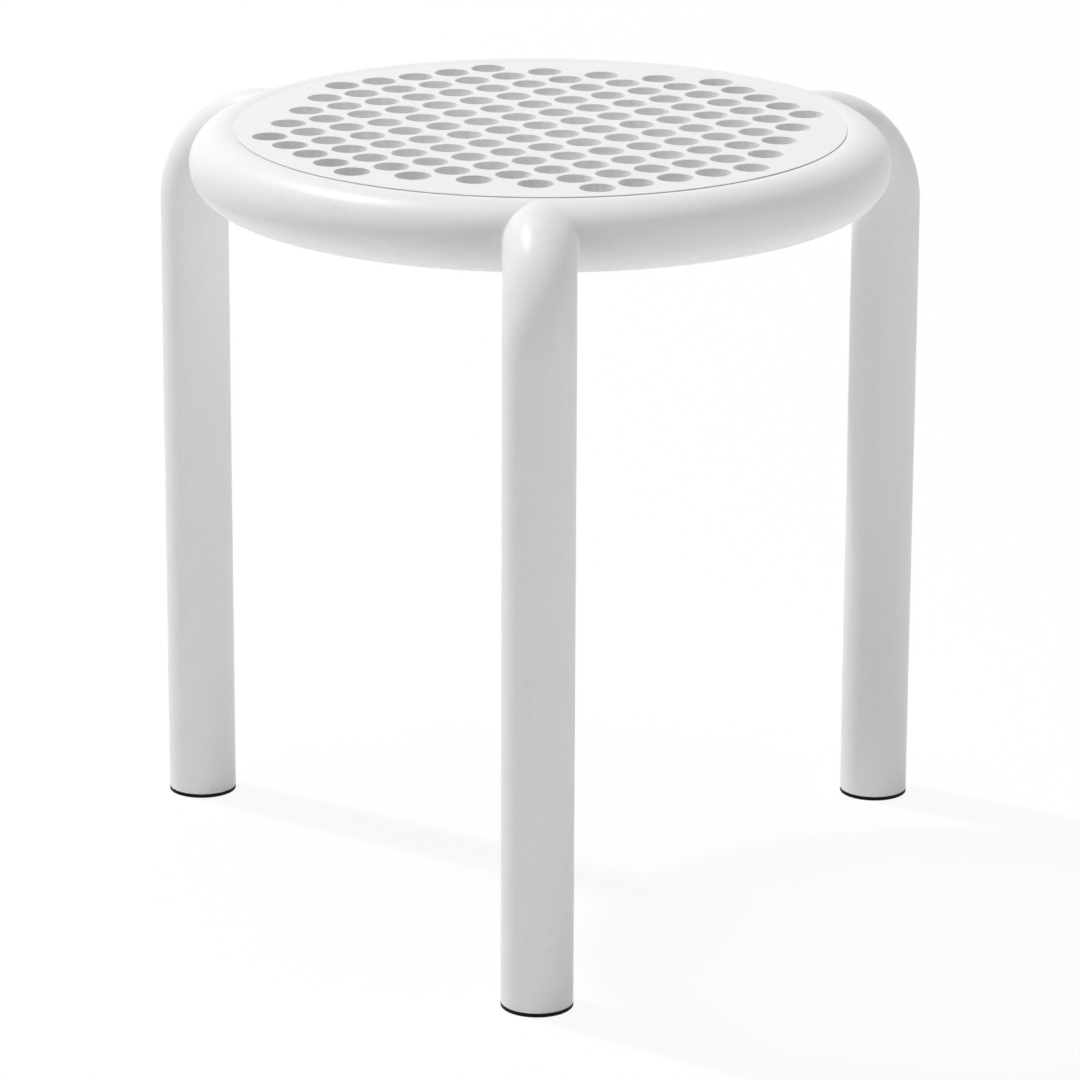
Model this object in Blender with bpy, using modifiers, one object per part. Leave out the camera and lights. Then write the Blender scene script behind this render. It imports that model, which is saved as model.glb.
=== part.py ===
# Three-legged metal stool: a perforated round seat plate seated on a bent tube ring, with three bent
# tube legs coped to the ring, welded, and closed by push-in glides. Metres, +Z up, origin on the floor
# at the middle of the stool's outline.

import math

import bmesh
import bpy
from mathutils import Vector

# Overall sizes. A leg's axis stands outside the ring's centreline by the setout.
SEAT_HEIGHT = 0.440
RING_RADIUS = 0.179
LEG_SETOUT = 0.0567
LEG_ANGLES = {"front": -90, "back_right": 30, "back_left": 150}

# Tube of the ring and the legs
TUBE_RADIUS = 0.020
TUBE_WALL = 0.002
BEND_RADIUS = 0.052
VENT_RADIUS = 0.005

# Perforated seat plate. Its edge lies inside the ring's centreline by the setback.
PLATE_SETBACK = 0.0055
PLATE_THICKNESS = 0.005
HOLE_RADIUS = 0.010
HOLE_PITCH = 0.0245
HOLE_EDGE_MARGIN = 0.008

# Push-in glides
GLIDE_FLANGE = 0.0022
GLIDE_CHAMFER = 0.0006
GLIDE_STEM_LENGTH = 0.020
GLIDE_STEM_WALL = 0.0025
GLIDE_BARB_HEIGHT = 0.0014
GLIDE_BARBS = 3

# Welds
LEG_WELD_SIZE = 0.0032
LEG_WELD_SPAN = (30, 150)
STITCH_COUNT = 6
STITCH_LENGTH = 0.025
STITCH_SIZE = 0.005

# Clearance between pieces that touch
CLEARANCE = 0.0003

# Facets
RING_STEPS = 60
TUBE_SIDES = 20
BORE_SIDES = 12
BEND_STEPS = 7
HOLE_SIDES = 12
WELD_STATIONS = 10
STITCH_STEPS = 3

MERGE = 0.000001

WHITE_COAT = (0.86, 0.86, 0.85)
BLACK_PLASTIC = (0.015, 0.015, 0.016)

# Places worked out from the sizes above
ring_height = SEAT_HEIGHT - TUBE_RADIUS
plate_radius = RING_RADIUS - PLATE_SETBACK
leg_circle_radius = RING_RADIUS + LEG_SETOUT
seat_offset = LEG_SETOUT / 2
bend_start = leg_circle_radius - BEND_RADIUS
bend_length = BEND_RADIUS * math.pi / 2
tube_end = GLIDE_FLANGE + CLEARANCE
hole_grid_angle = math.radians(LEG_ANGLES["back_right"])


def clear_scene():
    for thing in list(bpy.data.objects):
        bpy.data.objects.remove(thing)


def new_collection(name):
    group = bpy.data.collections.new(name)
    bpy.context.scene.collection.children.link(group)
    return group


def new_material(name, colour, roughness):
    material = bpy.data.materials.new(name)
    material.use_nodes = True
    shader = material.node_tree.nodes["Principled BSDF"]
    shader.inputs["Base Color"].default_value = (*colour, 1)
    shader.inputs["Roughness"].default_value = roughness
    shader.inputs["Metallic"].default_value = 0
    return material


def add_piece(name, mesh, angle=0):
    piece = bpy.data.objects.new(name, mesh)
    piece.rotation_euler.z = angle
    piece.parent = seat_axis
    stool.objects.link(piece)
    return piece


def add_cutter(name, mesh, angle=0):
    cutter = add_piece(name, mesh, angle)
    stool.objects.unlink(cutter)
    cutters.objects.link(cutter)
    cutter.hide_render = True
    cutter.display_type = "WIRE"
    return cutter


def coat(piece, colour=WHITE_COAT, roughness=0.42):
    piece.data.materials.clear()
    piece.data.materials.append(new_material(piece.name + "_finish", colour, roughness))


def smooth(mesh, degrees=35):
    mesh.shade_smooth()
    mesh.set_sharp_from_angle(angle=math.radians(degrees))


def cut(piece, cutter):
    boolean = piece.modifiers.new(cutter.name, "BOOLEAN")
    boolean.operation = "DIFFERENCE"
    boolean.solver = "EXACT"
    boolean.object = cutter


def profile_mesh(name, points, closed):
    edges = [(k, k + 1) for k in range(len(points) - 1)]
    if closed:
        edges.append((len(points) - 1, 0))
    mesh = bpy.data.meshes.new(name)
    mesh.from_pydata([(x, 0, z) for x, z in points], edges, [])
    return mesh


def turn(piece, steps, rounded=True):
    screw = piece.modifiers.new("turn", "SCREW")
    screw.axis = "Z"
    screw.steps = steps
    screw.render_steps = steps
    screw.use_merge_vertices = True
    screw.merge_threshold = MERGE
    screw.use_smooth_shade = rounded


def circle_profile(radius, centre, height, sides):
    # Runs clockwise seen from -Y, so that it goes down its outer side.
    points = []
    for k in range(sides):
        angle = math.pi / 2 - 2 * math.pi * k / sides
        points.append((centre + radius * math.cos(angle), height + radius * math.sin(angle)))
    return points


def ring_tube(radius, sides, name):
    return profile_mesh(name, circle_profile(radius, RING_RADIUS, ring_height, sides), closed=True)


def leg_path(overrun):
    # Centreline from inside the ring, level, round the bend and down to the floor end, with both ends
    # lengthened by the overrun.
    start = min(RING_RADIUS, bend_start) - TUBE_RADIUS / 4 - overrun
    points = [(start, 0, ring_height)]
    for k in range(BEND_STEPS + 1):
        angle = math.pi / 2 * k / BEND_STEPS
        x = bend_start + BEND_RADIUS * math.sin(angle)
        z = ring_height - BEND_RADIUS * (1 - math.cos(angle))
        points.append((x, 0, z))
    points.append((leg_circle_radius, 0, tube_end - overrun))
    return points


def tube_mesh(name, points, radius, sides):
    curve = bpy.data.curves.new(name, "CURVE")
    curve.dimensions = "3D"
    curve.bevel_depth = radius
    curve.bevel_resolution = (sides - 4) // 2
    curve.use_fill_caps = True
    spline = curve.splines.new("POLY")
    spline.points.add(len(points) - 1)
    for place, point in zip(points, spline.points):
        point.co = (*place, 1)
    holder = bpy.data.objects.new(name, curve)
    bpy.context.scene.collection.objects.link(holder)
    evaluated = holder.evaluated_get(bpy.context.evaluated_depsgraph_get())
    mesh = bpy.data.meshes.new_from_object(evaluated)
    bpy.data.objects.remove(holder)
    shape = bmesh.new()
    shape.from_mesh(mesh)
    bmesh.ops.remove_doubles(shape, verts=shape.verts, dist=MERGE)
    bmesh.ops.recalc_face_normals(shape, faces=shape.faces)
    shape.to_mesh(mesh)
    shape.free()
    mesh.name = name
    smooth(mesh)
    return mesh


def leg_point(run, around, radius):
    # Point at a radius round the leg's centreline: run is the distance along it from where the bend
    # starts, and around is the angle from its upper side.
    angle = min(max(run / BEND_RADIUS, 0), math.pi / 2)
    level = min(run, 0)
    drop = max(run - bend_length, 0)
    centre = Vector((bend_start + BEND_RADIUS * math.sin(angle) + level, 0,
                     ring_height - BEND_RADIUS * (1 - math.cos(angle)) - drop))
    upper = Vector((math.sin(angle), 0, math.cos(angle)))
    side = Vector((0, 1, 0))
    return centre + radius * (math.cos(around) * upper + math.sin(around) * side)


def ring_distance(point):
    return math.hypot(math.hypot(point.x, point.y) - RING_RADIUS, point.z - ring_height)


def crease_run(around, radius):
    # Distance along the leg where its surface leaves the ring's surface.
    low = RING_RADIUS - bend_start
    high = bend_length
    for _ in range(50):
        middle = (low + high) / 2
        if ring_distance(leg_point(middle, around, radius)) < radius:
            low = middle
        else:
            high = middle
    return (low + high) / 2


def make_ring():
    ring = add_piece("seat_ring", ring_tube(TUBE_RADIUS, TUBE_SIDES, "seat_ring"))
    turn(ring, RING_STEPS)
    bore = add_cutter("ring_bore", ring_tube(TUBE_RADIUS - TUBE_WALL, BORE_SIDES, "ring_bore"))
    turn(bore, RING_STEPS // 2)
    cut(ring, bore)
    for place, degrees in LEG_ANGLES.items():
        run = [(RING_RADIUS, 0, ring_height), (RING_RADIUS + 2 * TUBE_RADIUS, 0, ring_height)]
        mesh = tube_mesh("vent_" + place, run, VENT_RADIUS, BORE_SIDES)
        cut(ring, add_cutter("vent_" + place, mesh, math.radians(degrees)))
    coat(ring)


def grid_holes():
    # Every grid point whose hole keeps the margin to the plate's edge, the middle one included.
    reach = plate_radius - HOLE_EDGE_MARGIN - HOLE_RADIUS
    most = int(reach / HOLE_PITCH)
    for row in range(-most, most + 1):
        for column in range(-most, most + 1):
            if HOLE_PITCH * math.hypot(row, column) <= reach:
                yield HOLE_PITCH * column, HOLE_PITCH * row


def punch_mesh():
    # One pin for each hole, twice as long as the plate is thick.
    shape = bmesh.new()
    for x, y in grid_holes():
        pin = bmesh.ops.create_cone(shape, cap_ends=True, segments=HOLE_SIDES, radius1=HOLE_RADIUS,
                                    radius2=HOLE_RADIUS, depth=2 * PLATE_THICKNESS)
        middle = Vector((x, y, SEAT_HEIGHT - PLATE_THICKNESS / 2))
        bmesh.ops.translate(shape, verts=pin["verts"], vec=middle)
    mesh = bpy.data.meshes.new("punch")
    shape.to_mesh(mesh)
    shape.free()
    return mesh


def make_plate():
    under = SEAT_HEIGHT - PLATE_THICKNESS
    outline = [(0, SEAT_HEIGHT), (plate_radius, SEAT_HEIGHT), (plate_radius, under), (0, under)]
    plate = add_piece("seat_plate", profile_mesh("seat_plate", outline, closed=False))
    turn(plate, RING_STEPS, rounded=False)
    cut(plate, ring_envelope)
    cut(plate, add_cutter("punch", punch_mesh(), hole_grid_angle))
    coat(plate)


def make_leg_cope():
    # A disc whose rim is the ring's outer half, so that a leg ends on the ring and never inside it.
    rim = circle_profile(TUBE_RADIUS + CLEARANCE, RING_RADIUS, ring_height, TUBE_SIDES)
    half = rim[:TUBE_SIDES // 2 + 1]
    outline = [(0, half[0][1])] + half + [(0, half[-1][1])]
    cope = add_cutter("leg_cope", profile_mesh("leg_cope", outline, closed=False))
    turn(cope, RING_STEPS)
    return cope


def make_legs():
    cope = make_leg_cope()
    mesh = tube_mesh("leg", leg_path(0), TUBE_RADIUS, TUBE_SIDES)
    bore_mesh = tube_mesh("leg_bore", leg_path(TUBE_WALL), TUBE_RADIUS - TUBE_WALL, TUBE_SIDES)
    for place, degrees in LEG_ANGLES.items():
        leg = add_piece("leg_" + place, mesh.copy(), math.radians(degrees))
        cut(leg, cope)
        cut(leg, add_cutter("leg_bore_" + place, bore_mesh, math.radians(degrees)))
        coat(leg)


def glide_profile():
    # From the floor of the hollow stem up, over its rim, down its barbs and round the flange.
    stem = TUBE_RADIUS - TUBE_WALL - CLEARANCE
    neck = stem - GLIDE_BARB_HEIGHT
    hollow = neck - GLIDE_STEM_WALL
    top = GLIDE_FLANGE + GLIDE_STEM_LENGTH
    pitch = GLIDE_STEM_LENGTH / (GLIDE_BARBS + 1)
    points = [(0, GLIDE_FLANGE), (hollow, GLIDE_FLANGE), (hollow, top), (neck, top)]
    for barb in range(GLIDE_BARBS, 0, -1):
        shoulder = GLIDE_FLANGE + pitch * barb
        points.append((stem, shoulder))
        points.append((neck, shoulder))
    points.append((neck, GLIDE_FLANGE))
    points.append((TUBE_RADIUS, GLIDE_FLANGE))
    points.append((TUBE_RADIUS, GLIDE_CHAMFER))
    points.append((TUBE_RADIUS - GLIDE_CHAMFER, 0))
    points.append((0, 0))
    return points


def make_glides():
    for place, degrees in LEG_ANGLES.items():
        angle = math.radians(degrees)
        profile = profile_mesh("glide", glide_profile(), closed=False)
        glide = add_piece("glide_" + place, profile, angle)
        glide.location = (leg_circle_radius * math.cos(angle), leg_circle_radius * math.sin(angle), 0)
        turn(glide, TUBE_SIDES, rounded=False)
        coat(glide, BLACK_PLASTIC, 0.5)


def leg_weld_mesh(side):
    # Hollow-faced fillet along the crease on one side of the leg, from near its top to near its
    # underside: each section runs from the crease out along the leg, across and back along the ring.
    radius = TUBE_RADIUS + CLEARANCE
    sections = []
    for k in range(WELD_STATIONS + 1):
        first, last = LEG_WELD_SPAN
        around = side * math.radians(first + (last - first) * k / WELD_STATIONS)
        run = crease_run(around, radius)
        root = leg_point(run, around, radius)
        on_leg = leg_point(run + LEG_WELD_SIZE, around, radius)
        sweep = side * LEG_WELD_SIZE / math.hypot(root.x, root.y)
        on_ring = Vector((root.x * math.cos(sweep) - root.y * math.sin(sweep),
                         root.x * math.sin(sweep) + root.y * math.cos(sweep), root.z))
        face = on_leg / 4 + on_ring / 4 + root / 2
        sections.append([root, on_leg, face, on_ring])
    return loft_mesh("leg_weld", sections)


def loft_mesh(name, sections):
    shape = bmesh.new()
    rings = [[shape.verts.new(point) for point in section] for section in sections]
    shape.faces.new(rings[0])
    shape.faces.new(rings[-1])
    for one, two in zip(rings, rings[1:]):
        for k in range(len(one)):
            after = (k + 1) % len(one)
            shape.faces.new((one[k], one[after], two[after], two[k]))
    bmesh.ops.triangulate(shape, faces=shape.faces)
    bmesh.ops.recalc_face_normals(shape, faces=shape.faces)
    mesh = bpy.data.meshes.new(name)
    shape.to_mesh(mesh)
    shape.free()
    return mesh


def make_leg_welds():
    for place, degrees in LEG_ANGLES.items():
        for number, side in ((1, -1), (2, 1)):
            name = "leg_weld_" + place + "_" + str(number)
            weld = add_piece(name, leg_weld_mesh(side), math.radians(degrees))
            smooth(weld.data)
            coat(weld)


def stitch_section():
    # Wedge between the plate's underside and the ring's inner side.
    reach = TUBE_RADIUS + CLEARANCE
    under = SEAT_HEIGHT - PLATE_THICKNESS - CLEARANCE
    start = math.asin((under - ring_height) / reach)
    finish = start - STITCH_SIZE / reach
    root = Vector((RING_RADIUS - reach * math.cos(start), 0, under))
    low = Vector((RING_RADIUS - reach * math.cos(finish), 0, ring_height + reach * math.sin(finish)))
    inner = Vector((root.x - STITCH_SIZE, 0, under))
    return [root, low, inner]


def make_stitches():
    # Short welds that hold the plate down, spaced evenly and clear of the legs.
    sweep = STITCH_LENGTH / RING_RADIUS
    for number in range(STITCH_COUNT):
        middle = hole_grid_angle + 2 * math.pi * (number + 0.5) / STITCH_COUNT
        sections = []
        for k in range(STITCH_STEPS + 1):
            angle = sweep * (k / STITCH_STEPS - 0.5)
            turned = [Vector((p.x * math.cos(angle), p.x * math.sin(angle), p.z)) for p in stitch_section()]
            sections.append(turned)
        stitch = add_piece("plate_weld_" + str(number + 1), loft_mesh("plate_weld", sections), middle)
        coat(stitch)


clear_scene()
stool = new_collection("stool")
cutters = new_collection("cutters")

seat_axis = bpy.data.objects.new("seat_axis", None)
seat_axis.location.y = seat_offset
stool.objects.link(seat_axis)

ring_envelope = add_cutter("ring_envelope", ring_tube(TUBE_RADIUS + CLEARANCE, TUBE_SIDES, "ring_envelope"))
turn(ring_envelope, RING_STEPS)

make_ring()
make_plate()
make_legs()
make_glides()
make_leg_welds()
make_stitches()
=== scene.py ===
# White powder-coated steel stool. A round perforated seat lies in the crown of a bent tube ring,
# and three bent tube legs are coped and welded to the ring's outer side. Metres, in the CAD's frame
import math

import bmesh
import bpy
from mathutils import Matrix, Vector
from mathutils.geometry import delaunay_2d_cdt


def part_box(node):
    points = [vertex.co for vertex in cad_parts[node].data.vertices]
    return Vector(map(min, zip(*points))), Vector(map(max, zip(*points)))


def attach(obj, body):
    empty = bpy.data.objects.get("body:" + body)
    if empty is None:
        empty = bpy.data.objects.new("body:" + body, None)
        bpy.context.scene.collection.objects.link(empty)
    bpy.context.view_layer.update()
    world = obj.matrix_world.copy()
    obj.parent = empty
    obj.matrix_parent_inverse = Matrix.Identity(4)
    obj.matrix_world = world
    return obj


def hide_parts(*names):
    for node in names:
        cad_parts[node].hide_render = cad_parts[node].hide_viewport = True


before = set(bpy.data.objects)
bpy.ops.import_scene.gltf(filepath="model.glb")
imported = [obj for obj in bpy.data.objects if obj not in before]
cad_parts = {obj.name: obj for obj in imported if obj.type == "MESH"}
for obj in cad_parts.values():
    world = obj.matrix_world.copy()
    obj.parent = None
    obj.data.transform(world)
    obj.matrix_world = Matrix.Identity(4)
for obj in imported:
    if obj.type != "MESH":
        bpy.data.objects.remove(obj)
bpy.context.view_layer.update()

millimetre = 0.001
colourA, colourB, colourOut = 6, 7, 2  # a Mix node's sockets when it mixes colours

# Sizes that every piece shares, read from the CAD nodes
ringLow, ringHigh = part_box("seat_ring")
plateLow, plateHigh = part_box("seat_plate")
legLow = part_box("leg_front")[0]
seatHeight = ringHigh.z
tubeRadius = (ringHigh.z - ringLow.z) / 2
ringHeight = seatHeight - tubeRadius
ringRadius = (ringHigh.x - ringLow.x) / 2 - tubeRadius
seatAxis = Vector(((ringHigh.x + ringLow.x) / 2, ringHigh.y - tubeRadius - ringRadius, 0))
legCircle = seatAxis.y - legLow.y - tubeRadius
legPlaces = {"front": "front", "backRight": "back_right", "backLeft": "back_left"}


def legAngle(place):
    # Which way a leg stands from the seat's axis, going by its glide
    low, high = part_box("glide_" + legPlaces[place])
    away = (low + high) / 2 - seatAxis
    return math.atan2(away.y, away.x)


def linearColour(hexCode):
    # sRGB hex to the linear colour that a shader takes
    channels = []
    for k in (0, 2, 4):
        value = int(hexCode[k:k + 2], 16) / 255
        channels.append(value / 12.92 if value <= 0.04045 else ((value + 0.055) / 1.055) ** 2.4)
    return (*channels, 1)


def patternScale(size):
    # A noise's scale in the scene's metres, from the width of its cells in millimetres
    return 1000 / size


def addNode(tree, kind, settings=None, links=None):
    # A key that is an input's name or number sets that input; any other sets the node itself
    node = tree.nodes.new(kind)
    for key, value in (settings or {}).items():
        if isinstance(key, int) or key in node.inputs:
            node.inputs[key].default_value = value
        else:
            setattr(node, key, value)
    for key, source in (links or {}).items():
        tree.links.new(source, node.inputs[key])
    return node


def startMaterial(name):
    material = bpy.data.materials.new(name)
    material.use_nodes = True
    tree = material.node_tree
    tree.nodes.clear()
    return material, tree


# Polyester powder coat, sprayed on steel and baked. The powder flows out into a satin skin with a
# fine orange peel, a little thicker and thinner from place to place. The peel's pits are too fine
# and shallow to show here, so they are drawn 1.6 mm wide and deeper than they are, and the shade
# that falls in them is painted into the colour, a trace darker than the skin. Sizes and depths are
# in millimetres
coat = {
    "colour": "F0F0EF",
    "thinColour": "ECECEC",
    "ior": 1.5,
    "roughness": (0.35, 0.4),
    "specular": 0.25,
    "patchSize": 70,
    "peelSize": 1.6,
    "peelDepth": 0.06,
    # Painted shade: the colour that the peel's pits are darkened by, standing in for shade in them
    "paintedPitShade": "FBFBFB",
    "pitShadeRange": (0.35, 0.65),
    "waveSize": 7,
    "waveDepth": 0.02,
}


def makePowderCoat():
    material, tree = startMaterial("powderCoatWhiteSatin")
    place = addNode(tree, "ShaderNodeTexCoord").outputs["Object"]
    patches = addNode(tree, "ShaderNodeTexNoise",
                      {"Scale": patternScale(coat["patchSize"]), "Detail": 3}, {"Vector": place})
    colour = addNode(tree, "ShaderNodeMix",
                     {"data_type": "RGBA", colourA: linearColour(coat["colour"]),
                      colourB: linearColour(coat["thinColour"])}, {0: patches.outputs["Fac"]})
    low, high = coat["roughness"]
    sheen = addNode(tree, "ShaderNodeMapRange", {"To Min": low, "To Max": high},
                    {"Value": patches.outputs["Fac"]})
    wave = addNode(tree, "ShaderNodeTexNoise",
                   {"Scale": patternScale(coat["waveSize"]), "Detail": 1}, {"Vector": place})
    waveBump = addNode(tree, "ShaderNodeBump", {"Distance": coat["waveDepth"] * millimetre},
                       {"Height": wave.outputs["Fac"]})
    peel = addNode(tree, "ShaderNodeTexNoise",
                   {"Scale": patternScale(coat["peelSize"]), "Detail": 2}, {"Vector": place})
    peelBump = addNode(tree, "ShaderNodeBump", {"Distance": coat["peelDepth"] * millimetre},
                       {"Height": peel.outputs["Fac"], "Normal": waveBump.outputs["Normal"]})
    # Painted shade: the colour is darkened where the peel dips, as shade that falls in its pits
    shallow, deep = coat["pitShadeRange"]
    pitShadeMask = addNode(tree, "ShaderNodeMapRange", {"From Min": shallow, "From Max": deep},
                   {"Value": peel.outputs["Fac"]})
    skinWithPitShade = addNode(tree, "ShaderNodeMix",
                   {"data_type": "RGBA", "blend_type": "MULTIPLY",
                    colourB: linearColour(coat["paintedPitShade"])},
                   {0: pitShadeMask.outputs["Result"], colourA: colour.outputs[colourOut]})
    shader = addNode(tree, "ShaderNodeBsdfPrincipled",
                     {"Metallic": 0, "IOR": coat["ior"], "Specular IOR Level": coat["specular"]},
                     {"Base Color": skinWithPitShade.outputs[colourOut], "Roughness": sheen.outputs["Result"],
                      "Normal": peelBump.outputs["Normal"]})
    addNode(tree, "ShaderNodeOutputMaterial", {}, {"Surface": shader.outputs["BSDF"]})
    return material


# Black polyethylene, injection moulded in a spark-eroded tool. The grain scatters the light, and
# the face that meets the floor is scuffed paler. The real grain is about 0.1 mm wide, too fine to
# show, so it is drawn 1.2 mm wide. Sizes and depths are in millimetres
plastic = {
    "colour": "0C0C0D",
    "scuffColour": "2A2A2B",
    "ior": 1.5,
    "specular": 0.1,
    "scuffTop": 0.3,
    "scuffSize": 2.4,
    "roughness": (0.46, 0.62),
    "grainSize": 1.2,
    "grainDepth": 0.05,
}


def makeGlidePlastic():
    material, tree = startMaterial("polyethyleneMouldedBlack")
    place = addNode(tree, "ShaderNodeTexCoord").outputs["Object"]
    height = addNode(tree, "ShaderNodeSeparateXYZ", {}, {"Vector": place}).outputs["Z"]
    near = addNode(tree, "ShaderNodeMapRange",
                   {"From Min": 0, "From Max": plastic["scuffTop"] * millimetre,
                    "To Min": 1, "To Max": 0}, {"Value": height})
    rubs = addNode(tree, "ShaderNodeTexNoise",
                   {"Scale": patternScale(plastic["scuffSize"]), "Detail": 5}, {"Vector": place})
    scuff = addNode(tree, "ShaderNodeMath", {"operation": "MULTIPLY"},
                    {0: near.outputs["Result"], 1: rubs.outputs["Fac"]})
    colour = addNode(tree, "ShaderNodeMix",
                     {"data_type": "RGBA", colourA: linearColour(plastic["colour"]),
                      colourB: linearColour(plastic["scuffColour"])}, {0: scuff.outputs["Value"]})
    low, high = plastic["roughness"]
    sheen = addNode(tree, "ShaderNodeMapRange", {"To Min": low, "To Max": high},
                    {"Value": rubs.outputs["Fac"]})
    grain = addNode(tree, "ShaderNodeTexNoise",
                    {"Scale": patternScale(plastic["grainSize"]), "Detail": 2}, {"Vector": place})
    bump = addNode(tree, "ShaderNodeBump", {"Distance": plastic["grainDepth"] * millimetre},
                   {"Height": grain.outputs["Fac"]})
    shader = addNode(tree, "ShaderNodeBsdfPrincipled",
                     {"Metallic": 0, "IOR": plastic["ior"],
                      "Specular IOR Level": plastic["specular"]},
                     {"Base Color": colour.outputs[colourOut], "Roughness": sheen.outputs["Result"],
                      "Normal": bump.outputs["Normal"]})
    addNode(tree, "ShaderNodeOutputMaterial", {}, {"Surface": shader.outputs["BSDF"]})
    return material


# Each finish goes by its slot in the CAD record
finishes = {"white_powder_coat": makePowderCoat(), "black_plastic": makeGlidePlastic()}
print("finishes ready")

flatFaceWeight = 80  # of 100, how far the large faces lead the shading
sharpestSmooth = 40  # degrees, the sharpest fold that is shaded as smooth


def addPiece(name, mesh, slot, node):
    piece = bpy.data.objects.new(name, mesh)
    bpy.context.scene.collection.objects.link(piece)
    mesh.materials.append(finishes[slot])
    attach(piece, "root")
    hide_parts(node)
    return piece


def keepFlatsFlat(piece):
    # Lets the large faces set the shading beside small rounded edges
    weighted = piece.modifiers.new("flatsFlat", "WEIGHTED_NORMAL")
    weighted.weight = flatFaceWeight
    weighted.keep_sharp = True


def finishMesh(name, shape):
    bmesh.ops.recalc_face_normals(shape, faces=shape.faces)
    mesh = bpy.data.meshes.new(name)
    shape.to_mesh(mesh)
    shape.free()
    mesh.shade_smooth()
    mesh.set_sharp_from_angle(angle=math.radians(sharpestSmooth))
    return mesh


def addLoops(shape, rows):
    return [[shape.verts.new(point) for point in row] for row in rows]


def bridge(shape, loops):
    # Quads between each loop of vertices and the next, all the way round
    for one, two in zip(loops, loops[1:]):
        count = len(one)
        for k in range(count):
            after = (k + 1) % count
            shape.faces.new((one[k], one[after], two[after], two[k]))


def loopsToMesh(name, rows, closeRows=False, capEnds=False):
    # A skin over rows of points, each row a closed loop
    shape = bmesh.new()
    loops = addLoops(shape, rows)
    bridge(shape, loops + loops[:1] if closeRows else loops)
    if capEnds:
        shape.faces.new(loops[0])
        shape.faces.new(loops[-1])
    return finishMesh(name, shape)


def circlePoints(centre, radius, steps):
    return [Vector((centre.x + radius * math.cos(2 * math.pi * k / steps),
                    centre.y + radius * math.sin(2 * math.pi * k / steps))) for k in range(steps)]


def turned(profile, steps, centre):
    # Rows of a profile of (radius, height) pairs turned about an upright axis
    return [[Vector((*spot, height)) for spot in circlePoints(centre, radius, steps)]
            for radius, height in profile]


def edgeArc(radius, height, outward, upward, size, steps):
    # Radius and height along a quarter round, from the flat face to the wall
    arc = []
    for k in range(1, steps + 1):
        angle = math.pi / 2 * k / steps
        arc.append((radius - outward * size * (1 - math.sin(angle)),
                    height - upward * size * (1 - math.cos(angle))))
    return arc


def roundedCorner(before, corner, after, radius, steps):
    # Points of the arc that rounds a corner of a profile
    inward = (Vector(before) - Vector(corner)).normalized()
    onward = (Vector(after) - Vector(corner)).normalized()
    half = inward.angle(onward) / 2
    reach = radius / math.tan(half)
    start = Vector(corner) + inward * reach
    finish = Vector(corner) + onward * reach
    centre = Vector(corner) + (inward + onward).normalized() * (radius / math.sin(half))
    points = []
    for k in range(steps + 1):
        arm = (start - centre).slerp(finish - centre, k / steps).normalized()
        points.append(centre + arm * radius)
    return points


# Seat ring: one steel tube, bent to a circle
ring = {"stepsRound": 360, "sides": 72}


def makeRing():
    profile = []
    for k in range(ring["sides"]):
        angle = 2 * math.pi * k / ring["sides"]
        profile.append((ringRadius + tubeRadius * math.cos(angle),
                        ringHeight + tubeRadius * math.sin(angle)))
    mesh = loopsToMesh("seatRing", turned(profile, ring["stepsRound"], seatAxis), closeRows=True)
    addPiece("seatRing", mesh, "white_powder_coat", "seat_ring")
    print("seat ring ready")


# Seat plate: cut from sheet, punched, its edge eased and its rim scarfed to lie on the ring's
# crown. The holes' edges are eased half as far underneath as on top
plate = {
    "holeRadius": 0.010,
    "holePitch": 0.0245,
    "rimToHole": 0.008,
    "holeSides": 48,
    "rimSteps": 360,
    "easedEdge": 0.0002,
    "edgeSteps": 3,
    "rimGap": 0.00022,
    "scarfSteps": 10,
    "samePoint": 1e-9,
}
plateRadius = (plateHigh.x - plateLow.x) / 2
plateUnder = plateLow.z


def holeCentres():
    # A square grid in line with the back right leg, as far as the plain rim allows
    turn = Matrix.Rotation(legAngle("backRight"), 2)
    reach = plateRadius - plate["rimToHole"] - plate["holeRadius"]
    most = int(reach / plate["holePitch"])
    centres = []
    for row in range(-most, most + 1):
        for column in range(-most, most + 1):
            spot = Vector((column, row)) * plate["holePitch"]
            if spot.length <= reach:
                centres.append(seatAxis.xy + turn @ spot)
    return centres


def perforatedFace(shape, rimRadius, holeRadius, height, centres):
    # One flat face of the plate, as triangles between its rim and its holes. Gives back its rim
    # loop and its hole loops, to be joined to the walls
    loops = [circlePoints(seatAxis, rimRadius, plate["rimSteps"])]
    loops += [circlePoints(centre, holeRadius, plate["holeSides"]) for centre in centres]
    points, edges, spans = [], [], []
    for loop in loops:
        first = len(points)
        points += loop
        edges += [(first + k, first + (k + 1) % len(loop)) for k in range(len(loop))]
        spans.append((first, len(points)))
    found = delaunay_2d_cdt(points, edges, [], 1, plate["samePoint"])
    vertices = [shape.verts.new((spot.x, spot.y, height)) for spot in found[0]]
    renumbered = {source: index for index, sources in enumerate(found[3]) for source in sources}
    owner = {}
    for number, (first, last) in enumerate(spans):
        for source in range(first, last):
            owner[renumbered[source]] = number
    for face in found[2]:
        # A face whose corners all lie on one hole's edge fills that hole, and is left out
        holes = {owner[index] for index in face}
        if len(holes) > 1 or 0 in holes:
            shape.faces.new([vertices[index] for index in face])
    return [[vertices[renumbered[source]] for source in range(first, last)]
            for first, last in spans]


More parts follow.
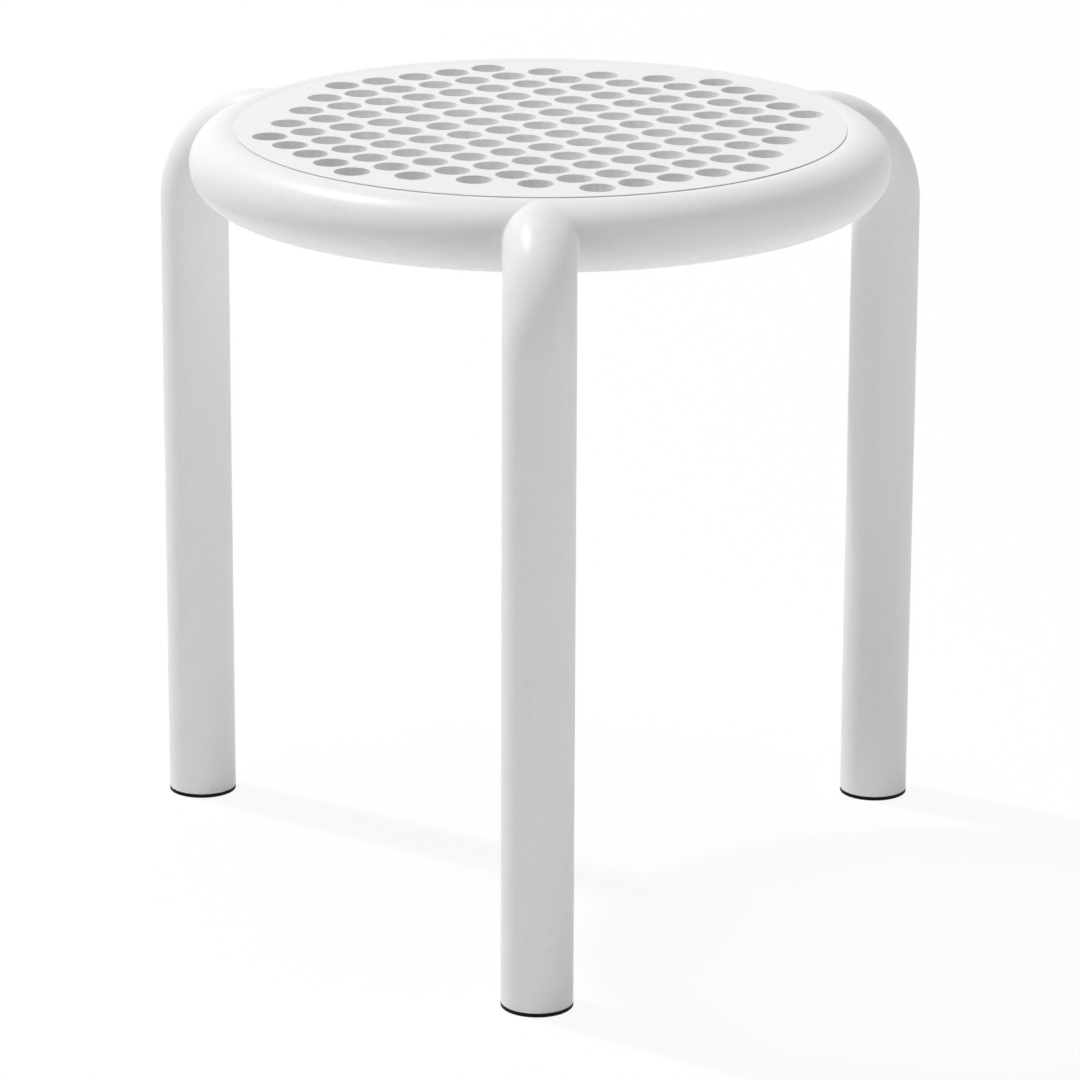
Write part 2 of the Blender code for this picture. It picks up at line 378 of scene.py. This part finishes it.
def makePlate():
    size = plate["easedEdge"]
    steps = plate["edgeSteps"]
    envelope = tubeRadius + plate["rimGap"]
    scarfStart = math.asin((plateUnder - ringHeight) / envelope)
    scarfEnd = math.acos((ringRadius - plateRadius) / envelope)
    underRadius = ringRadius - envelope * math.cos(scarfStart)
    centres = holeCentres()
    shape = bmesh.new()
    top = perforatedFace(shape, plateRadius - size, plate["holeRadius"] + size, seatHeight, centres)
    under = perforatedFace(shape, underRadius, plate["holeRadius"] + size / 2, plateUnder, centres)
    rim = edgeArc(plateRadius, seatHeight, 1, 1, size, steps)
    for k in range(plate["scarfSteps"]):
        angle = scarfEnd + (scarfStart - scarfEnd) * k / plate["scarfSteps"]
        rim.append((ringRadius - envelope * math.cos(angle),
                    ringHeight + envelope * math.sin(angle)))
    walls = addLoops(shape, turned(rim, plate["rimSteps"], seatAxis))
    bridge(shape, [top[0]] + walls + [under[0]])
    bore = edgeArc(plate["holeRadius"], seatHeight, -1, 1, size, steps)
    bore += edgeArc(plate["holeRadius"], plateUnder, -1, -1, size / 2, steps)[::-1]
    for centre, above, below in zip(centres, top[1:], under[1:]):
        walls = addLoops(shape, turned(bore, plate["holeSides"], centre))
        bridge(shape, [above] + walls + [below])
    mesh = finishMesh("perforatedSeat", shape)
    keepFlatsFlat(addPiece("perforatedSeat", mesh, "white_powder_coat", "seat_plate"))
    print("seat plate with", len(centres), "holes")


# Legs: the ring's own tube, bent through a right angle and coped to the ring
leg = {
    "bendRadius": 0.052,
    "wall": 0.002,
    "sides": 72,
    "bendRows": 44,
    "uprightRows": 24,
    "boreRows": 30,
    "copeOverrun": 0.0004,
    "creaseHalvings": 50,
    "endRound": 0.0003,
    "endSteps": 4,
    "flangeSeam": 0.0003,
    "flangeGap": 0.00005,
}
bendStart = legCircle - leg["bendRadius"]
bendLength = leg["bendRadius"] * math.pi / 2
uprightLength = ringHeight - leg["bendRadius"]
flangeTop = legLow.z - leg["flangeSeam"]
legArounds = [2 * math.pi * k / leg["sides"] for k in range(leg["sides"])]


def legPoint(run, around, radius):
    # Point round the leg's centreline, in the leg's own plane: run is the distance along it from
    # where the bend starts, around the angle from its upper side
    angle = min(max(run / leg["bendRadius"], 0), math.pi / 2)
    level = min(run, 0)
    drop = max(run - bendLength, 0)
    centre = Vector((bendStart + leg["bendRadius"] * math.sin(angle) + level, 0,
                     ringHeight - leg["bendRadius"] * (1 - math.cos(angle)) - drop))
    upper = Vector((math.sin(angle), 0, math.cos(angle)))
    return centre + radius * (math.cos(around) * upper + math.sin(around) * Vector((0, 1, 0)))


def legNormal(run, around):
    return (legPoint(run, around, 1) - legPoint(run, around, 0)).normalized()


def ringDistance(point):
    return math.hypot(math.hypot(point.x, point.y) - ringRadius, point.z - ringHeight)


def creaseRun(around, radius):
    # How far along the leg its surface comes out of the ring's surface
    low = ringRadius - bendStart
    high = bendLength
    for _ in range(leg["creaseHalvings"]):
        middle = (low + high) / 2
        if ringDistance(legPoint(middle, around, radius)) < tubeRadius:
            low = middle
        else:
            high = middle
    return (low + high) / 2


def legTurn(place):
    # From the leg's own plane to its place on the ring
    return Matrix.Translation(seatAxis) @ Matrix.Rotation(legAngle(place), 4, "Z")


def legRows(radius, rows, floorEnd):
    # Rows of points from the cope, round the bend and down to the foot
    starts = [creaseRun(around, radius) - leg["copeOverrun"] for around in legArounds]
    points = []
    for row in range(rows):
        share = row / rows
        points.append([legPoint(start + (bendLength - start) * share, around, radius)
                       for start, around in zip(starts, legArounds)])
    for row in range(leg["uprightRows"] + 1):
        drop = (uprightLength - floorEnd) * row / leg["uprightRows"]
        points.append([legPoint(bendLength + drop, around, radius) for around in legArounds])
    return points


def makeLegs():
    end = flangeTop + leg["flangeGap"]
    size = leg["endRound"]
    outer = legRows(tubeRadius, leg["bendRows"], end + size)
    # The lip turns in from the last outer row to the tube's cut end
    lipProfile = edgeArc(tubeRadius, end, 1, -1, size, leg["endSteps"])[::-1][1:]
    lipProfile.append((tubeRadius - size, end))
    lip = [[legPoint(bendLength + uprightLength - height, around, radius) for around in legArounds]
           for radius, height in lipProfile]
    inner = legRows(tubeRadius - leg["wall"], leg["boreRows"], end)[::-1]
    for place, node in legPlaces.items():
        mesh = loopsToMesh(place + "Leg", outer + lip + inner, closeRows=True)
        mesh.transform(legTurn(place))
        keepFlatsFlat(addPiece(place + "Leg", mesh, "white_powder_coat", "leg_" + node))
    print("legs ready")


# Leg welds: a hollow fillet on each side of each leg, dressed smooth and coated over, widest at the
# side and fading to nothing where the two tubes are level. Its span is in degrees round the leg
fillet = {
    "radius": 0.003,
    "span": (5, 175),
    "stations": 240,
    "across": 10,
    "skirt": 0.0004,
    "skirtSink": 0.00002,
    "rootSink": 0.0004,
    "ripplePitch": 0.0021,
    "rippleDepth": 0.00005,
    "crescent": 0.5,
}


def ringNormal(point):
    level = Vector((point.x, point.y, 0)).normalized() * ringRadius
    return (point - Vector((level.x, level.y, ringHeight))).normalized()


def ringSlide(point, distance, side):
    sweep = side * distance / math.hypot(point.x, point.y)
    return Matrix.Rotation(sweep, 3, "Z") @ point


def filletRows(side):
    # Sections along the crease, each from the leg over the hollow to the ring, and back inside
    first, last = fillet["span"]
    rows = []
    travelled = 0
    before = None
    for k in range(fillet["stations"] + 1):
        around = side * math.radians(first + (last - first) * k / fillet["stations"])
        run = creaseRun(around, tubeRadius)
        root = legPoint(run, around, tubeRadius)
        travelled += (root - before).length if before else 0
        before = root
        fromLeg = legNormal(run, around)
        fromRing = ringNormal(root)
        width = fillet["radius"] * math.tan(fromLeg.angle(fromRing) / 2)
        onLeg = legPoint(run + width, around, tubeRadius)
        onRing = ringSlide(root, width, side)
        row = [legPoint(run + width + fillet["skirt"], around, tubeRadius - fillet["skirtSink"])]
        for step in range(fillet["across"] + 1):
            t = step / fillet["across"]
            point = onLeg * (1 - t) ** 2 + root * 2 * t * (1 - t) + onRing * t ** 2
            normal = fromLeg.slerp(fromRing, t)
            crescent = travelled / fillet["ripplePitch"] + (2 * t - 1) ** 2 * fillet["crescent"]
            lift = fillet["rippleDepth"] * math.sin(math.pi * t) * math.sin(2 * math.pi * crescent)
            row.append(point + normal * lift)
        row.append(ringSlide(root - fromRing * fillet["skirtSink"], width + fillet["skirt"], side))
        row.append(root - (fromLeg + fromRing).normalized() * fillet["rootSink"])
        rows.append(row)
    return rows


def makeFillets():
    for number, side in (("1", -1), ("2", 1)):
        rows = filletRows(side)
        for place, node in legPlaces.items():
            name = place + "LegFillet" + number
            mesh = loopsToMesh(name, rows, capEnds=True)
            mesh.transform(legTurn(place))
            addPiece(name, mesh, "white_powder_coat", "leg_weld_" + node + "_" + number)
    print("leg welds ready")


# Plate welds: short beads under the rim, a row of overlapping scallops under the coat. Each bead is
# narrower over a share of its length at both ends
bead = {
    "reach": 0.005,
    "endShare": 0.06,
    "endReach": 0.25,
    "belly": 0.0006,
    "stations": 84,
    "across": 10,
    "ripplePitch": 0.0026,
    "rippleDepth": 0.00025,
    "crescent": 0.6,
    "rootSink": 0.0003,
}


def beadRows(angle, sweep):
    # Sections along the ring's inner side, each from the plate's underside to the ring
    start = math.asin((plateUnder - ringHeight) / tubeRadius)
    root = Vector((ringRadius - tubeRadius * math.cos(start), plateUnder))
    rows = []
    for k in range(bead["stations"] + 1):
        share = k / bead["stations"]
        fromEnd = min(share, 1 - share, bead["endShare"])
        swell = math.sin(math.pi * fromEnd / (2 * bead["endShare"]))
        reach = bead["reach"] * (bead["endReach"] + (1 - bead["endReach"]) * swell)
        finish = start - reach / tubeRadius
        onRing = Vector((ringRadius - tubeRadius * math.cos(finish),
                         ringHeight + tubeRadius * math.sin(finish)))
        onPlate = Vector((root.x - reach, plateUnder))
        outward = Vector((onRing.y - onPlate.y, onPlate.x - onRing.x)).normalized()
        points = [onPlate + Vector((0, bead["rootSink"]))]
        for step in range(bead["across"] + 1):
            t = step / bead["across"]
            crescent = (share * sweep * ringRadius / bead["ripplePitch"]
                        + (2 * t - 1) ** 2 * bead["crescent"])
            scallop = abs(math.sin(math.pi * crescent))
            lift = math.sin(math.pi * t) * (bead["belly"] + bead["rippleDepth"] * scallop)
            points.append(onPlate.lerp(onRing, t) + outward * lift)
        points.append(onRing + (root - onRing).normalized() * bead["rootSink"])
        points.append(root + Vector((bead["rootSink"], bead["rootSink"])))
        turn = angle + sweep * (share - 0.5)
        rows.append([seatAxis + Vector((spot.x * math.cos(turn), spot.x * math.sin(turn), spot.y))
                     for spot in points])
    return rows


def makeBeads():
    # Each bead lies where its CAD node does, and is as long
    nodes = sorted(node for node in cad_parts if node.startswith("plate_weld_"))
    for node in nodes:
        corners = [Vector(vertex.co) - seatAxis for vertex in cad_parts[node].data.vertices]
        middle = sum((Vector((c.x, c.y)).normalized() for c in corners), Vector((0, 0)))
        angle = math.atan2(middle.y, middle.x)
        spread = [(math.atan2(c.y, c.x) - angle + math.pi) % (2 * math.pi) - math.pi
                  for c in corners]
        name = "plateBead" + node.removeprefix("plate_weld_")
        mesh = loopsToMesh(name, beadRows(angle, max(spread) - min(spread)), capEnds=True)
        addPiece(name, mesh, "white_powder_coat", node)
    print("plate welds ready")


# Glides: one moulding each, a barbed hollow stem in the tube and a flange that closes its end
glide = {
    "sides": 96,
    "flangeRound": 0.00025,
    "flangeSteps": 5,
    "edgeRound": 0.00015,
    "edgeSteps": 4,
    "stemWall": 0.0025,
    "stemGap": 0.0003,
    "barbHeight": 0.0014,
    "barbs": 3,
    "solePit": 0.0004,
    "soleBorder": 0.0045,
    "middleDisc": 0.0005,
}


def glideProfile(top):
    # From the middle of the sole, out round the flange, up the barbs and down inside the stem
    stem = tubeRadius - leg["wall"] - glide["stemGap"]
    neck = stem - glide["barbHeight"]
    hollow = neck - glide["stemWall"]
    pitch = (top - flangeTop) / (glide["barbs"] + 1)
    sole = tubeRadius - glide["soleBorder"]
    pit = glide["solePit"]
    lowEdge, highEdge = (tubeRadius, 0), (tubeRadius, flangeTop)
    profile = [(glide["middleDisc"], pit), (sole - pit, pit), (sole, 0)]
    profile += roundedCorner((0, 0), lowEdge, highEdge, glide["flangeRound"], glide["flangeSteps"])
    profile += roundedCorner(lowEdge, highEdge, (0, flangeTop), glide["edgeRound"],
                             glide["edgeSteps"])
    profile.append((neck, flangeTop))
    for barb in range(1, glide["barbs"] + 1):
        shoulder = flangeTop + pitch * barb
        profile += [(neck, shoulder), (stem, shoulder)]
    profile += [(neck, top), (hollow, top), (hollow, flangeTop), (glide["middleDisc"], flangeTop)]
    return profile


def makeGlides():
    for place, node in legPlaces.items():
        low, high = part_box("glide_" + node)
        rows = turned(glideProfile(high.z), glide["sides"], (low + high) / 2)
        mesh = loopsToMesh(place + "Glide", rows, capEnds=True)
        keepFlatsFlat(addPiece(place + "Glide", mesh, "black_plastic", "glide_" + node))
    print("glides ready")


makeRing()
makePlate()
makeLegs()
makeFillets()
makeBeads()
makeGlides()


# Camera: a long lens, low above the seat. Lens and sensor in millimetres, angles in degrees
shot = {
    "lens": 185.9,
    "sensor": 36,
    "target": (0.00068, 0, 0.19436),
    "distance": 3.2303,
    "downward": 17.009,
    "roll": 0.232,
    "farthest": 60,
}


def makeCamera():
    data = bpy.data.cameras.new("stoolCamera")
    data.lens = shot["lens"]
    data.sensor_width = shot["sensor"]
    data.clip_end = shot["farthest"]
    camera = bpy.data.objects.new("stoolCamera", data)
    bpy.context.scene.collection.objects.link(camera)
    down = math.radians(shot["downward"])
    back = Vector((0, -math.cos(down), math.sin(down)))
    target = seatAxis + Vector(shot["target"])
    tilt = Matrix.Rotation(math.pi / 2 - down, 4, "X")
    roll = Matrix.Rotation(math.radians(shot["roll"]), 4, "Z")
    camera.matrix_world = Matrix.Translation(target + back * shot["distance"]) @ (tilt @ roll)
    bpy.context.scene.camera = camera


# Studio: white floor and surround, with soft light from straight above. Glow gives how bright the
# surround is at two heights, from -1 straight below to 1 straight above
studio = {
    "floorSide": 24,
    "floorColour": "FDFDFC",
    "floorShow": 0.9,
    "glow": ((0.93, 0.02), (0.96, 1)),
    "glowStrength": 3.3,
}


def seenDirectly(tree):
    # 1 where the camera sees the surface, also in a reflection or through glass, and 0 where it
    # only lights the stool
    ray = addNode(tree, "ShaderNodeLightPath")
    seen = ray.outputs["Is Camera Ray"]
    for other in ("Is Glossy Ray", "Is Transmission Ray"):
        seen = addNode(tree, "ShaderNodeMath", {"operation": "MAXIMUM"},
                       {0: seen, 1: ray.outputs[other]}).outputs["Value"]
    return seen


def makeFloor():
    half = studio["floorSide"] / 2
    mesh = bpy.data.meshes.new("studioFloor")
    corners = [(-half, -half, 0), (half, -half, 0), (half, half, 0), (-half, half, 0)]
    mesh.from_pydata(corners, [], [(0, 1, 2, 3)])
    floor = bpy.data.objects.new("studioFloor", mesh)
    bpy.context.scene.collection.objects.link(floor)
    # Part of what is seen stays paint, which carries the stool's shadow
    material, tree = startMaterial("paintedFloorWhiteMatt")
    share = addNode(tree, "ShaderNodeMath", {"operation": "MULTIPLY", 1: studio["floorShow"]},
                    {0: seenDirectly(tree)})
    paint = addNode(tree, "ShaderNodeBsdfDiffuse", {"Color": linearColour(studio["floorColour"])})
    white = addNode(tree, "ShaderNodeEmission", {"Color": (1, 1, 1, 1), "Strength": 1})
    mix = addNode(tree, "ShaderNodeMixShader", {},
                  {0: share.outputs["Value"], 1: paint.outputs["BSDF"],
                   2: white.outputs["Emission"]})
    addNode(tree, "ShaderNodeOutputMaterial", {}, {"Surface": mix.outputs["Shader"]})
    mesh.materials.append(material)


def makeSurround():
    world = bpy.data.worlds.new("studioSurround")
    world.use_nodes = True
    tree = world.node_tree
    tree.nodes.clear()
    way = addNode(tree, "ShaderNodeTexCoord").outputs["Generated"]
    height = addNode(tree, "ShaderNodeSeparateXYZ", {}, {"Vector": way}).outputs["Z"]
    fade = addNode(tree, "ShaderNodeValToRGB", {}, {"Fac": height})
    for stop, (rise, level) in zip(fade.color_ramp.elements, studio["glow"]):
        stop.position = rise
        stop.color = (level, level, level, 1)
    dim = addNode(tree, "ShaderNodeBackground", {"Strength": studio["glowStrength"]},
                  {"Color": fade.outputs["Color"]})
    white = addNode(tree, "ShaderNodeBackground", {"Color": (1, 1, 1, 1), "Strength": 1})
    mix = addNode(tree, "ShaderNodeMixShader", {},
                  {0: seenDirectly(tree), 1: dim.outputs["Background"],
                   2: white.outputs["Background"]})
    addNode(tree, "ShaderNodeOutputWorld", {}, {"Surface": mix.outputs["Shader"]})
    bpy.context.scene.world = world


# Lamps: a small key high behind and to the left, and a wide panel low on each side of the camera.
# Around is in degrees from the camera's side toward the left, and up in degrees above level
lamps = {
    "key": {"around": 124, "up": 56, "distance": 9, "size": (0.5, 0.5), "power": 505},
    "right": {"around": -60, "up": 6, "distance": 3.4, "size": (3.4, 0.9), "power": 22},
    "left": {"around": 60, "up": 21, "distance": 5, "size": (5.2, 1.7), "power": 35},
}


def makeLamps():
    for name, lamp in lamps.items():
        data = bpy.data.lights.new(name + "Lamp", "AREA")
        data.shape = "ELLIPSE"
        data.size, data.size_y = lamp["size"]
        data.energy = lamp["power"]
        piece = bpy.data.objects.new(name + "Lamp", data)
        bpy.context.scene.collection.objects.link(piece)
        around = math.radians(lamp["around"])
        up = math.radians(lamp["up"])
        way = Vector((-math.sin(around) * math.cos(up), -math.cos(around) * math.cos(up),
                      math.sin(up)))
        place = seatAxis + Vector((0, 0, seatHeight / 2)) + way * lamp["distance"]
        facing = way.to_track_quat("Z", "Y").to_matrix().to_4x4()
        piece.matrix_world = Matrix.Translation(place) @ facing


makeCamera()
makeFloor()
makeSurround()
makeLamps()
bpy.context.scene.view_settings.view_transform = "Standard"
print("camera, floor and light ready")
